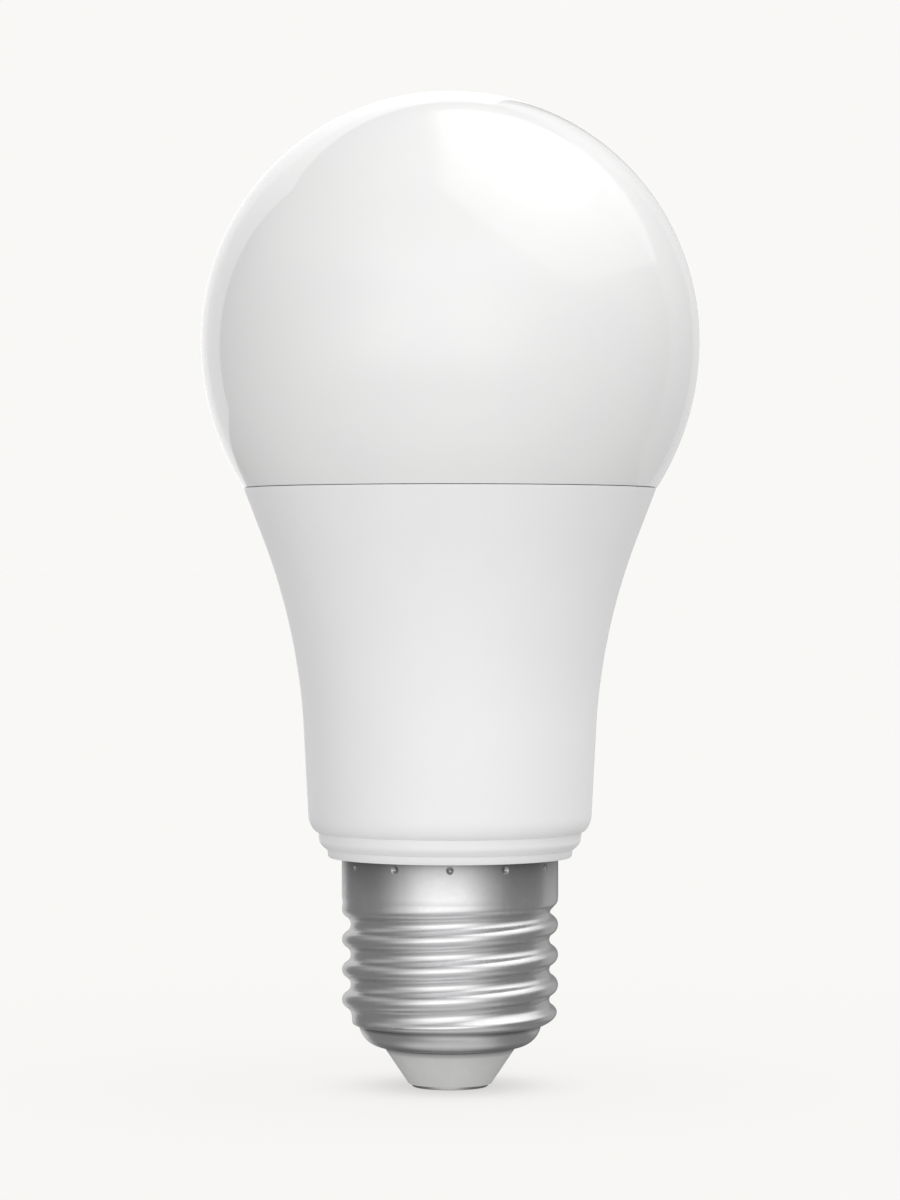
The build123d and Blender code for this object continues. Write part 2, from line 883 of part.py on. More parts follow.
# power transistor: a tab package with its metal tab on the board
transistor_place = (6.2, 46.5)
transistor_size = (6.4, 2.3, 6.0)
tab_size = (5.2, 0.5, 1.6)
tab_rise = 3.7
leg_size = (0.8, 0.6, 2.2)
leg_drop = -3.9
leg_side = 2.2
with BuildPart() as power_transistor:
    x, height = transistor_place
    with Locations((x, face_front - 0.2 - transistor_size[1] / 2, height)):
        Box(*transistor_size)
    chamfer(power_transistor.edges().filter_by(Axis.Z), 0.3)
    with Locations((x, face_front - tab_size[1] / 2, height + tab_rise)):
        Box(*tab_size)
    for side in (-1, 1):
        with Locations((x + side * leg_side, face_front - leg_size[1] / 2, height + leg_drop)):
            Box(*leg_size)
save(power_transistor.part, "power_transistor")

diode_height = 55.6
diode_size = (3.4, 2.1, 4.4)
diode_foot = (2.0, 0.3, 1.0)
with BuildPart() as output_diodes:
    for x in (-1.6, 3.4):
        with Locations((x, face_front - 0.1 - diode_size[1] / 2, diode_height)):
            Box(*diode_size)
        for side in (-1, 1):
            with Locations((x, face_front - diode_foot[1] / 2, diode_height + side * 2.5)):
                Box(*diode_foot)
save(output_diodes.part, "output_diodes")


def chip_row(places, size):
    """Small two-ended chips flat on the back of the driver board."""
    with BuildPart() as row:
        for x, height in places:
            with Locations((x, face_back + size[1] / 2, height)):
                Box(*size)
    return row.part


resistor_places = [(9.6, 52.0 + 1.8 * index) for index in range(5)]
resistor_places += [(-9.4, 51.0 + 1.8 * index) for index in range(5)]
resistor_places += [(-5.6, 16.0 + 2.0 * index) for index in range(4)]
capacitor_places = [(-0.2 + 2.6 * index, 31.2) for index in range(-1, 2)]
capacitor_places += [(-5.6, 25.4 + 2.2 * index) for index in range(3)]
save(chip_row(resistor_places, (1.7, 0.5, 0.9)), "chip_resistors")
save(chip_row(capacitor_places, (1.9, 0.9, 1.2)), "chip_capacitors")

# ---- radio board ----

with BuildPart() as radio_board:
    with BuildSketch(Plane.XZ.offset(-radio_front)):
        with Locations((0, (radio_bottom + radio_top) / 2)):
            RectangleRounded(radio_width, radio_top - radio_bottom, 0.8)
        with Locations((0, header_height)):
            with GridLocations(header_pitch, 1, header_count, 1):
                Circle(header_hole, mode=Mode.SUBTRACT)
    extrude(amount=-radio_thick)
save(radio_board.part, "radio_board")

shield_centre = (0, 60.0)
shield_size = (10.0, 8.6)
shield_height = 1.9
shield_wall = 0.2
chip_side = 5.0
chip_height = 0.9
with BuildPart() as radio_shield:
    with Locations((shield_centre[0], radio_back + shield_height / 2, shield_centre[1])):
        Box(shield_size[0], shield_height, shield_size[1])
    fillet(radio_shield.edges().group_by(Axis.Y)[-1], 0.3)
    room = (shield_size[0] - 2 * shield_wall, shield_height - shield_wall, shield_size[1] - 2 * shield_wall)
    with Locations((shield_centre[0], radio_back + room[1] / 2, shield_centre[1])):
        Box(*room, mode=Mode.SUBTRACT)
save(radio_shield.part, "radio_shield")

with BuildPart() as radio_chip:
    with Locations((shield_centre[0], radio_back + chip_height / 2, shield_centre[1])):
        Box(chip_side, chip_height, chip_side)
save(radio_chip.part, "radio_chip")

# printed antenna: a folded track near the top edge
track_width = 0.6
track_thick = 0.1
with BuildPart() as antenna_trace:
    with BuildSketch(Plane.XZ.offset(-radio_back)):
        fold_pitch = 1.9
        fold_low = 73.4
        fold_high = 77.6
        feed_low = 66.4
        folds = 6
        first = -fold_pitch * folds / 2 + fold_pitch / 2
        for index in range(folds):
            x = first + fold_pitch * index
            with Locations((x, (fold_low + fold_high) / 2)):
                Rectangle(track_width, fold_high - fold_low + track_width)
            if index < folds - 1:
                level = fold_high if index % 2 == 0 else fold_low
                with Locations((x + fold_pitch / 2, level)):
                    Rectangle(fold_pitch + track_width, track_width)
        with Locations((first, (fold_low + feed_low) / 2)):
            Rectangle(track_width, fold_low - feed_low)
    extrude(amount=-track_thick)
save(antenna_trace.part, "antenna_trace")

# the header that joins the two boards, and its pins, which go through both
strip_centre = (0, (face_back + radio_front) / 2, header_height)
with BuildPart() as header_strip:
    strip_gap = radio_front - face_back
    with Locations(strip_centre):
        Box(header_pitch * (header_count + 0.6), strip_gap, header_pitch)
        with GridLocations(header_pitch, 1, header_count, 1):
            Cylinder(header_hole, 2 * strip_gap, rotation=(90, 0, 0), mode=Mode.SUBTRACT)
save(header_strip.part, "header_strip")

pin_out = 0.8
pin_length = radio_back + pin_out - face_front
with BuildPart() as header_pins:
    with Locations((0, face_front + pin_length / 2, header_height)):
        with GridLocations(header_pitch, 1, header_count, 1):
            Cylinder(header_radius, pin_length, rotation=(90, 0, 0))
save(header_pins.part, "header_pins")

# ---- wires ----

wire_bend = 0.9
live_route = [(4.0, -1.4, 17.0), (4.0, -1.4, 11.6), (0.0, 0.0, 9.8), (0.0, 0.0, 1.6)]
save(bent_wire(live_route, wire_radius, wire_bend), "live_wire")

neutral_x = -tail_radius + 0.55
neutral_route = [
    (-7.0, -1.4, 17.0),
    (-7.0, -1.4, 10.2),
    (neutral_x, 0.0, 10.2),
    (neutral_x, 0.0, 21.6),
    (-12.55, 0.0, 21.6),
]
save(bent_wire(neutral_route, wire_radius, wire_bend), "neutral_wire")

for side, colour in ((-1, "positive"), (1, "negative")):
    lead_route = [
        (side * pole, -1.4, 59.2),
        (side * pole, -1.4, 62.0),
        (side * pole, lead_slot_centre, 65.0),
        (side * pole, lead_slot_centre, led_board_top + 1.4),
        (side * pole, -6.4, led_board_top + 1.4),
    ]
    save(bent_wire(lead_route, wire_radius, wire_bend), f"led_lead_{colour}")
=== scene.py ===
import json
from math import asin, atan2, cos, degrees, hypot, pi, radians, sin, sqrt, tan

import bmesh
import bpy
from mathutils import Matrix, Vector


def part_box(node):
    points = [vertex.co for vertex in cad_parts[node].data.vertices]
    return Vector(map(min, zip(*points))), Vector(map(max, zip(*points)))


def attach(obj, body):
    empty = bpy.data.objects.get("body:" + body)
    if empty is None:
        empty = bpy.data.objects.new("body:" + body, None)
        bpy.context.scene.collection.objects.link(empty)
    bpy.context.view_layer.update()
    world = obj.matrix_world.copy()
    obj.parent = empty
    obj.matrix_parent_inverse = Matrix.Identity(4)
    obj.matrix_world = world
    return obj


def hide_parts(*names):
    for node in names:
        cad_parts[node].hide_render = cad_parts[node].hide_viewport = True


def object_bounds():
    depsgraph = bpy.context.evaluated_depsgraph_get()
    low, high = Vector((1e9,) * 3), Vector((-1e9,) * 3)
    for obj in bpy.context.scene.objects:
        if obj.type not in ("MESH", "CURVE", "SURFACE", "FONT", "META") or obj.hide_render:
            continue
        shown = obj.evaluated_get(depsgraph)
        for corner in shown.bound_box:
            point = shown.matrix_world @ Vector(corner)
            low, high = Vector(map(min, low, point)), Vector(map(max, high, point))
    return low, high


# A mains LED bulb standing on its centre contact, in metres in the CAD frame. The outer pieces
# are rebuilt as smooth meshes, and every other piece is the CAD node with its own material.

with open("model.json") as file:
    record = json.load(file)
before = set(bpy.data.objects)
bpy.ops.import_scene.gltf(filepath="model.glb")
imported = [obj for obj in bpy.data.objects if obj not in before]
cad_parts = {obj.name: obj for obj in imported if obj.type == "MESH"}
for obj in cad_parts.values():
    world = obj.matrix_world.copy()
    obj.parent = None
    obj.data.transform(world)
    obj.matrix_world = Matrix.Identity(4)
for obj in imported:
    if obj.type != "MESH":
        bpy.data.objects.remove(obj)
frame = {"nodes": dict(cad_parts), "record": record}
cad_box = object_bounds()
MM = 0.001

# ---- driving dimensions, in millimetres ----

globe_low, globe_high = (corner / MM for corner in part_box("diffuser_globe"))
housing_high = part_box("body_housing")[1] / MM
cap_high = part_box("screw_cap")[1] / MM

# globe
globe_radius = globe_high.x
globe_height = globe_high.z - globe_radius
flank_radius = 32.9
globe_wall = 1.3
neck_radius = 22.6
neck_bottom = globe_low.z
rim_height = housing_high.z
seam_gap = 0.075
globe_bottom = rim_height + seam_gap
seam_edge = 0.06
neck_edges = (0.1, 0.15)

# housing
barrel_draft = 3.0
flare_angle = 21.0
curve_radius = 75.0
curve_start = (17.61, 43.0)
barrel_bottom = 32.9
inner_bottom = 33.2
housing_wall = 1.4
socket_radius = 22.75
ledge_height = 69.4
housing_bottom = 27.65
foot_radius = 14.7
step_radius = 15.85
spigot_radius = 12.68
spigot_step = 22.95
tail_radius = 11.5
tail_bottom = 11.5
tail_bore = 9.9
floor_height = 29.6
floor_edge = 13.4
inner_corner = (14.3, 31.2)
foot_roll = (16.62, 31.25)
foot_shelf = (16.12, 30.75)
step_top = 30.62
step_bottom = (step_radius - 0.08, 29.75)
cove = (15.45, 29.1)
foot_top = (foot_radius + 0.16, 28.62)
foot_break = (foot_radius + 0.05, 28.35)
edge_break = 0.15
rim_strip = 0.6

# screw cap
cap_radius = cap_high.x
cap_wall = 0.32
cap_top = cap_high.z
thread_pitch = 3.629
thread_depth = 1.05
crest_height = 12.25
runout_top = 22.75
runout_length = 2.0
thread_bottom = 7.4
shoulder_height = 9.6
# the painted shade on the collar, under the housing's foot, ends at this height
collar_unshaded = 22.9
bowl_top_radius = 11.0
bowl_centre_height = 7.82
bowl_radius = 3.0
bowl_mouth = 7.75
dimple_count = 12
dimple_height = 26.85
dimple_radius = 0.47
dimple_depth = 0.26
dimple_strip = 0.6
dimple_reach = 0.62
collar_strip = (26.0, 22.95)
cap_edge = 0.06
lip_edge = 0.1
joint_step = 0.02
lip_bottom = bowl_centre_height - bowl_radius
lip_top = lip_bottom + cap_wall

# insulator
cone_top = (8.0, 4.78)
cone_bottom = (5.0, 0.36)
insulator_neck = 7.6
insulator_top = 6.6
lip_clearance = 0.05
flare_bottom = 8.45
flare_radius = 9.2
flare_height = 5.75
boss_width = 2.2
rivet_thick = 0.3
shank_radius = 1.7
shank_top = 7.6
cone_edges = (0.12, 0.1)

curve_centre = (
    curve_start[0] + curve_radius * cos(radians(barrel_draft)),
    curve_start[1] - curve_radius * sin(radians(barrel_draft)),
)


# ---- materials ----


class Material:
    """A Principled material with object-space patterns, in millimetres, wired to its sockets."""

    def __init__(self, name, colour, roughness, metallic=0.0):
        self.data = bpy.data.materials.new(name)
        self.data.use_nodes = True
        self.tree = self.data.node_tree
        self.shader = self.tree.nodes["Principled BSDF"]
        self.shader.inputs["Base Color"].default_value = (*colour, 1)
        self.shader.inputs["Roughness"].default_value = roughness
        self.shader.inputs["Metallic"].default_value = metallic
        self.place = self.tree.nodes.new("ShaderNodeTexCoord").outputs["Object"]

    def node(self, kind, links=None, **values):
        """A node of a kind, with its properties set and its inputs linked or set by name."""
        made = self.tree.nodes.new(kind)
        for name, value in values.items():
            setattr(made, name, value)
        for name, value in (links or {}).items():
            socket = made.inputs[name]
            if isinstance(value, bpy.types.NodeSocket):
                self.tree.links.new(value, socket)
            else:
                socket.default_value = value
        return made

    def stretched(self, scale):
        """The object's coordinates in millimetres, divided by a size along each axis."""
        factors = tuple(1 / (MM * size) for size in scale)
        return self.node(
            "ShaderNodeVectorMath",
            {0: self.place, 1: factors},
            operation="MULTIPLY",
        ).outputs["Vector"]

    def noise(self, size, detail=3.0, stretch=(1, 1, 1)):
        """A noise pattern whose blobs are about size millimetres across."""
        vector = self.stretched([size * part for part in stretch])
        made = self.node("ShaderNodeTexNoise", {"Vector": vector, "Scale": 1.0, "Detail": detail})
        return made.outputs["Fac"]

    def between(self, pattern, low, high):
        """The middle range of a pattern, where nearly all of it lies, run from low to high."""
        links = {"Value": pattern, "From Min": 0.3, "From Max": 0.7, "To Min": low, "To Max": high}
        return self.node("ShaderNodeMapRange", links).outputs["Result"]

    def mixed(self, share, first, second):
        """The base colour runs from the first colour to the second with a share from 0 to 1.

        A mix of colours has them at its inputs 6 and 7, and gives the result at its output 2.
        """
        links = {0: share, 6: first, 7: second}
        result = self.node("ShaderNodeMix", links, data_type="RGBA").outputs[2]
        self.tree.links.new(result, self.shader.inputs["Base Color"])
        return result

    def tint(self, pattern, first, second):
        """The base colour runs between two colours with a pattern."""
        return self.mixed(self.between(pattern, 0.0, 1.0), (*first, 1), (*second, 1))

    def rise(self, low, high, start=0.0, end=1.0):
        """A share that runs from start to end as the height goes from low to high, in mm."""
        height = self.node("ShaderNodeSeparateXYZ", {0: self.place}).outputs["Z"]
        links = {0: height, 1: low * MM, 2: high * MM, 3: start, 4: end}
        return self.node("ShaderNodeMapRange", links).outputs["Result"]

    def maths(self, operation, first, second):
        """A maths node of two sockets or numbers."""
        return self.node("ShaderNodeMath", {0: first, 1: second}, operation=operation).outputs[0]

    def gloss(self, pattern, low, high):
        """The roughness runs from low to high with a pattern."""
        self.tree.links.new(self.between(pattern, low, high), self.shader.inputs["Roughness"])

    def bump(self, pattern, height):
        """The pattern raises the surface by a height in millimetres."""
        links = {"Height": pattern, "Distance": height * MM, "Strength": 1.0}
        made = self.node("ShaderNodeBump", links)
        self.tree.links.new(made.outputs["Normal"], self.shader.inputs["Normal"])
        return made


def opal_plastic():
    """Glossy opal plastic: a clear moulded skin over a milky body."""
    made = Material("opal_plastic", (0.86, 0.86, 0.855), 0.45)
    made.tint(made.noise(9.0), (0.855, 0.856, 0.853), (0.87, 0.868, 0.862))
    made.gloss(made.noise(2.5), 0.42, 0.5)
    skin = made.bump(made.noise(2.2, 1.0), 0.0006)
    made.tree.links.new(skin.outputs["Normal"], made.shader.inputs["Coat Normal"])
    made.shader.inputs["Specular IOR Level"].default_value = 0.1
    made.shader.inputs["Coat Weight"].default_value = 1.0
    made.shader.inputs["Coat Roughness"].default_value = 0.05
    made.shader.inputs["Coat IOR"].default_value = 1.5
    return made.data


def housing_plastic():
    """Satin white plastic from a finely textured mould."""
    made = Material("housing_plastic", (0.84, 0.84, 0.84), 0.45)
    made.tint(made.noise(7.0), (0.865, 0.866, 0.868), (0.88, 0.879, 0.877))
    made.gloss(made.noise(1.2), 0.42, 0.5)
    made.bump(made.noise(0.22, 2.0), 0.0016)
    return made.data


def nickel_plate():
    """Satin nickel on rolled metal, with the faint lines that rolling leaves round it.

    Shade is painted into its colour: it is darker where the collar goes up into the housing,
    in the crease over the bowl, and where the bowl's lip closes on the insulator.
    """
    # painted shade: a dark colour mixed into the plate under the housing's foot, in the crease over
    # the bowl and at the lip
    painted_shade = (0.1, 0.1, 0.104, 1)
    collar_fade = 0.41
    above_crease = (thread_bottom, 7.95)
    below_crease = (7.3, 6.9)
    crease_share = 0.3
    over_lip = (5.1, 5.9)
    lip_share = 0.25
    made = Material("nickel_plate", (0.67, 0.67, 0.675), 0.3, 1.0)
    lines = made.noise(1.0, 1.0, (6.0, 6.0, 0.12))
    plate = made.tint(made.noise(3.0, 4.0), (0.69, 0.69, 0.697), (0.73, 0.73, 0.737))
    # painted shade: each share falls towards the housing, into the crease and towards the lip
    collar = made.maths("POWER", made.rise(cap_top, collar_unshaded), collar_fade)
    above = made.rise(*above_crease, crease_share)
    below = made.rise(*below_crease, crease_share)
    crease = made.maths("MAXIMUM", above, below)
    lip = made.rise(*over_lip, lip_share)
    unshaded = made.maths("MULTIPLY", collar, made.maths("MULTIPLY", crease, lip))
    made.mixed(unshaded, painted_shade, plate)
    made.gloss(made.noise(0.6, 4.0), 0.27, 0.32)
    made.bump(lines, 0.0002)
    return made.data


def insulator_plastic():
    """Grey heat-resistant plastic, with painted shade at its top edge, under the metal lip."""
    # painted shade: the colour darkens over the top edge, where the cap's lip overhangs it
    lip_shade_colour = (0.22, 0.22, 0.22, 1)
    lip_shade_depth = 0.75
    made = Material("insulator_plastic", (0.58, 0.58, 0.575), 0.5)
    grey = made.tint(made.noise(2.4), (0.56, 0.56, 0.555), (0.6, 0.6, 0.595))
    made.mixed(made.rise(cone_top[1], cone_top[1] - lip_shade_depth), lip_shade_colour, grey)
    made.gloss(made.noise(0.9), 0.44, 0.56)
    made.bump(made.noise(0.3), 0.004)
    return made.data


def plain(name, colour, roughness, metallic=0.0, grain=0.4, change=0.06, height=0.004):
    """A moulded, printed or plated finish with a fine grain and a slight change of colour."""
    made = Material(name, colour, roughness, metallic)
    lighter = tuple(min(1.0, part * (1 + change)) for part in colour)
    darker = tuple(part * (1 - change) for part in colour)
    made.tint(made.noise(grain * 8), darker, lighter)
    made.gloss(made.noise(grain * 3), roughness - 0.06, roughness + 0.06)
    made.bump(made.noise(grain), height)
    return made.data


def ringed(name, colour, roughness, pitch, metallic=0.0):
    """A wound finish with bands up the bulb's axis, pitch millimetres apart."""
    made = Material(name, colour, roughness, metallic)
    wave = made.node(
        "ShaderNodeTexWave",
        {"Vector": made.stretched((1, 1, 1)), "Scale": pi / (10 * pitch), "Distortion": 0.6},
        bands_direction="Z",
        wave_profile="SIN",
    ).outputs["Fac"]
    darker = tuple(part * 0.8 for part in colour)
    made.tint(wave, darker, colour)
    made.gloss(made.noise(1.0), roughness - 0.05, roughness + 0.05)
    made.bump(wave, 0.03)
    return made.data


finishes = {
    "opal_plastic": opal_plastic(),
    "housing_plastic": housing_plastic(),
    "nickel_plate": nickel_plate(),
    "insulator_plastic": insulator_plastic(),
    "contact_metal": plain("contact_metal", (0.4, 0.4, 0.395), 0.34, 1.0, grain=0.5, height=0.01),
    "sealant": plain("sealant", (0.78, 0.78, 0.76), 0.6, grain=0.8, height=0.02),
    "sheet_aluminium": plain("sheet_aluminium", (0.72, 0.73, 0.74), 0.36, 1.0, grain=0.6),
    "pad_silicone": plain("pad_silicone", (0.45, 0.5, 0.55), 0.8, grain=0.3, height=0.01),
    "board_white": plain("board_white", (0.82, 0.82, 0.8), 0.42, grain=0.5),
    "led_package": plain("led_package", (0.85, 0.85, 0.83), 0.35, grain=0.3),
    "phosphor_warm": plain("phosphor_warm", (0.85, 0.52, 0.1), 0.5, grain=0.1),
    "phosphor_cool": plain("phosphor_cool", (0.86, 0.72, 0.18), 0.5, grain=0.1),
    "screw_steel": plain("screw_steel", (0.6, 0.6, 0.6), 0.32, 1.0, grain=0.4),
    "connector_ivory": plain("connector_ivory", (0.78, 0.74, 0.62), 0.45, grain=0.4),
    "tinned_metal": plain("tinned_metal", (0.72, 0.71, 0.69), 0.3, 1.0, grain=0.2),
    "sleeve_plastic": plain("sleeve_plastic", (0.7, 0.71, 0.7), 0.5, grain=0.5),
    "board_green": plain("board_green", (0.03, 0.16, 0.06), 0.35, grain=0.6, change=0.2),
    "black_epoxy": plain("black_epoxy", (0.025, 0.025, 0.027), 0.45, grain=0.12, change=0.2),
    "resistor_coat": plain("resistor_coat", (0.12, 0.35, 0.42), 0.4, grain=0.5),
    "varistor_coat": plain("varistor_coat", (0.06, 0.14, 0.4), 0.3, grain=1.0, height=0.02),
    "capacitor_box": plain("capacitor_box", (0.55, 0.1, 0.06), 0.35, grain=0.8, height=0.02),
    "capacitor_sleeve": plain("capacitor_sleeve", (0.02, 0.03, 0.06), 0.35, grain=0.5),
    "ferrite": plain("ferrite", (0.05, 0.05, 0.055), 0.6, grain=0.25, change=0.25, height=0.02),
    "copper_wire": ringed("copper_wire", (0.62, 0.26, 0.1), 0.32, 0.5, 1.0),
    "bobbin_black": plain("bobbin_black", (0.04, 0.04, 0.04), 0.5, grain=0.4, change=0.2),
    "winding_tape": ringed("winding_tape", (0.82, 0.6, 0.08), 0.4, 2.2),
    "chip_ceramic": plain("chip_ceramic", (0.3, 0.24, 0.18), 0.5, grain=0.1, change=0.2),
    "shield_metal": plain("shield_metal", (0.62, 0.62, 0.6), 0.3, 1.0, grain=0.5),
    "gold_track": plain("gold_track", (0.78, 0.55, 0.2), 0.3, 1.0, grain=0.2),
    "wire_black": plain("wire_black", (0.03, 0.03, 0.03), 0.4, grain=0.5, change=0.2),
    "wire_white": plain("wire_white", (0.75, 0.75, 0.73), 0.4, grain=0.5),
    "wire_red": plain("wire_red", (0.5, 0.03, 0.03), 0.4, grain=0.5),
}

slot_of = {entry["node"]: entry["material_slot"] for entry in frame["record"]["subparts"]}


# ---- profiles ----

dome_steps = 60
flank_steps = 36
side_steps = 90
inner_steps = 40
shoulder_steps = 12
thread_steps = 88
bowl_steps = 14
lip_steps = 8
dimple_steps = 16
round_steps = 240


def on_curve(angle, inset):
    """A point of the housing's long curve, set inwards by inset."""
    reach = curve_radius + inset
    return (
        curve_centre[0] - reach * cos(radians(angle)),
        curve_centre[1] + reach * sin(radians(angle)),
    )


def side_point(height, inset=0.0):
    """The point of the housing's side at a height, set inwards by inset."""
    start = on_curve(barrel_draft, inset)
    end = on_curve(flare_angle, inset)
    if height < start[1]:
        return (start[0] + (height - start[1]) * tan(radians(barrel_draft)), height)
    if height > end[1]:
        return (end[0] + (height - end[1]) * tan(radians(flare_angle)), height)
    return on_curve(degrees(asin((height - curve_centre[1]) / (curve_radius + inset))), inset)


def spread(first, last, count):
    """Evenly spaced numbers from first to last, both included."""
    return [first + (last - first) * index / count for index in range(count + 1)]


def rounded(corner, before, after, radius, steps=5):
    """A small fillet at a corner of a profile, as points from the first side to the second."""
    point = Vector(corner)
    one = (Vector(before) - point).normalized()
    two = (Vector(after) - point).normalized()
    half = one.angle(two) / 2
    reach = radius / tan(half)
    centre = point + (one + two).normalized() * (radius / sin(half))
    start = point + one * reach - centre
    end = point + two * reach - centre
    turn = atan2(start.x * end.y - start.y * end.x, start.dot(end))
    points = []
    for angle in spread(0, turn, steps):
        x = start.x * cos(angle) - start.y * sin(angle)
        y = start.x * sin(angle) + start.y * cos(angle)
        points.append((centre.x + x, centre.y + y))
    return points


def hermite(start, end, leave, arrive, steps=8):
    """A smooth run between two points of a profile, with its direction at each end."""
    length = hypot(end[0] - start[0], end[1] - start[1])
    leave = Vector(leave).normalized() * length
    arrive = Vector(arrive).normalized() * length
    points = []
    for t in spread(0, 1, steps):
        a = 2 * t**3 - 3 * t**2 + 1
        b = t**3 - 2 * t**2 + t
        c = -2 * t**3 + 3 * t**2
        d = t**3 - t**2
        x = a * start[0] + b * leave.x + c * end[0] + d * arrive.x
        y = a * start[1] + b * leave.y + c * end[1] + d * arrive.y
        points.append((x, y))
    return points


flank_centre = globe_radius - flank_radius


def flank_point(height, inset=0.0):
    """A point below the widest place of the globe, set inwards by inset."""
    drop = globe_height - height
    return (flank_centre + sqrt((flank_radius - inset) ** 2 - drop**2), height)


def globe_side(low, inset):
    """The globe's profile from its top down to a height."""
    radius = globe_radius - inset
    points = []
    for angle in spread(90, 0, dome_steps):
        points.append((radius * cos(radians(angle)), globe_height + radius * sin(radians(angle))))
    points[0] = (0.0, globe_height + radius)
    points += [flank_point(height, inset) for height in spread(globe_height, low, flank_steps)[1:]]
    return points


# ---- meshes ----


def shaded(mesh, name, slot):
    """An object of a finished mesh, smooth but for its real edges, riding on the bulb."""
    mesh.polygons.foreach_set("use_smooth", [True] * len(mesh.polygons))
    mesh.set_sharp_from_angle(angle=radians(40))
    piece = bpy.data.objects.new(name, mesh)
    bpy.context.scene.collection.objects.link(piece)
    mesh.materials.append(finishes[slot])
    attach(piece, "root")
    return piece


def turned(name, rows, angles, slot, closed):
    """A piece of revolution. Each row gives a radius for an angle, and a height.

    A row with no radius is one point on the axis. A closed profile joins its last row to its
    first.
    """
    body = bmesh.new()
    rings = []
    for radius_at, height in rows:
        if radius_at is None:
            rings.append([body.verts.new((0, 0, height * MM))])
            continue
        ring = []
        for angle in angles:
            radius = radius_at(angle) if callable(radius_at) else radius_at
            place = (radius * cos(angle) * MM, radius * sin(angle) * MM, height * MM)
            ring.append(body.verts.new(place))
        rings.append(ring)
    pairs = list(zip(rings, rings[1:]))
    if closed:
        pairs.append((rings[-1], rings[0]))
    count = len(angles)
    for upper, lower in pairs:
        for index in range(count):
            after = (index + 1) % count
            corners = [upper[index % len(upper)], lower[index % len(lower)]]
            if len(lower) > 1:
                corners.append(lower[after])
            if len(upper) > 1:
                corners.append(upper[after])
            body.faces.new(corners)
    bmesh.ops.recalc_face_normals(body, faces=body.faces)
    mesh = bpy.data.meshes.new(name)
    body.to_mesh(mesh)
    body.free()
    return shaded(mesh, name, slot)


def plain_rows(points):
    """Rows for a profile that is round at every height."""
    return [(None if point[0] == 0 else point[0], point[1]) for point in points]


even_angles = [2 * pi * index / round_steps for index in range(round_steps)]

# globe
outside = globe_side(globe_bottom, 0.0)
edge = outside[-1]
lip = (neck_radius, globe_bottom)
neck_inner = neck_radius - globe_wall
neck_foot = (neck_radius, neck_bottom)
points = outside[:-1] + rounded(edge, outside[-2], lip, seam_edge)
points += rounded(lip, edge, neck_foot, neck_edges[0], 3)
points += rounded(neck_foot, lip, (neck_inner, neck_bottom), neck_edges[1], 3)
points += [(neck_inner, neck_bottom), (neck_inner, globe_bottom)]
inner_end = globe_bottom + globe_wall
points += list(reversed(globe_side(inner_end, globe_wall)))
globe = turned("globe", plain_rows(points), even_angles, "opal_plastic", False)
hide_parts("diffuser_globe")

# housing
rim = side_point(rim_height)
rim_below = side_point(rim_height - rim_strip)
points = rounded(rim, (socket_radius, rim_height), rim_below, seam_edge)
side_heights = spread(rim_height - rim_strip, barrel_bottom, side_steps)
points += [side_point(height) for height in side_heights]
draft_down = (-sin(radians(barrel_draft)), -1)
roll_slope = (-0.6, -0.9)
shelf_slope = (-1, -0.55)
cove_slope = (-1, -1)
foot_slope = (-1, -0.35)
points += hermite(side_point(barrel_bottom), foot_roll, draft_down, roll_slope)[1:]
points += hermite(foot_roll, foot_shelf, roll_slope, shelf_slope)[1:]
points += [(step_radius, step_top), step_bottom]
points += hermite(step_bottom, cove, (0, -1), cove_slope)[1:]
points += hermite(cove, foot_top, cove_slope, foot_slope)[1:]
points += [
    foot_break,
    (foot_radius, housing_bottom + edge_break),
    (foot_radius - edge_break, housing_bottom),
    (spigot_radius, housing_bottom),
    (spigot_radius, spigot_step),
    (tail_radius, spigot_step),
    (tail_radius, tail_bottom),
    (tail_bore, tail_bottom),
    (tail_bore, floor_height),
    (floor_edge, floor_height),
    inner_corner,
]
inner_heights = spread(inner_bottom, ledge_height, inner_steps)
points += [side_point(height, housing_wall) for height in inner_heights]
points += [(socket_radius, ledge_height), (socket_radius, rim_height)]
housing = turned("housing", plain_rows(points), even_angles, "housing_plastic", True)
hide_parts("body_housing")

# screw cap
knuckle_rise = thread_depth / 2
knuckle_run = thread_pitch / 4
knuckle_radius = (knuckle_rise**2 + knuckle_run**2) / (2 * knuckle_rise)


def knuckle_sag(distance):
    """How far a crest or root has fallen away at a distance from its middle."""
    return knuckle_radius - sqrt(knuckle_radius**2 - distance**2)


def thread_radius(angle, height):
    """The rolled thread's outer radius at an angle from +X and a height."""
    phase = (height - crest_height) / thread_pitch - angle / (2 * pi)
    distance = abs(phase - round(phase)) * thread_pitch
    if distance < knuckle_run:
        fall = knuckle_sag(distance)
    else:
        fall = thread_depth - knuckle_sag(thread_pitch / 2 - distance)
    ramp = min(1.0, (runout_top - height) / runout_length)
    radius = cap_radius - joint_step - fall * ramp**2 * (3 - 2 * ramp)
    if height < shoulder_height:
        reach = (shoulder_height - height) / (shoulder_height - thread_bottom)
        draw = sqrt(max(0.0, 1 - reach**2))
        floor_radius = bowl_top_radius - joint_step
        radius = floor_radius + (radius - floor_radius) * draw
    return radius


def collar_radius(angle, height):
    """The plain collar's radius, with its ring of punched dimples."""
    step = 2 * pi / dimple_count
    nearest = round((angle + pi / 2) / step) * step - pi / 2
    away = hypot((angle - nearest) * cap_radius, height - dimple_height) / dimple_radius
    if away >= 1:
        return cap_radius
    return cap_radius - dimple_depth * (1 - away**2) ** 1.5


def cap_row(shape, height, inset=0.0):
    """A row whose radius follows a shape of angle and height, set inwards by inset."""
    return (lambda angle: shape(angle, height) - inset, height)


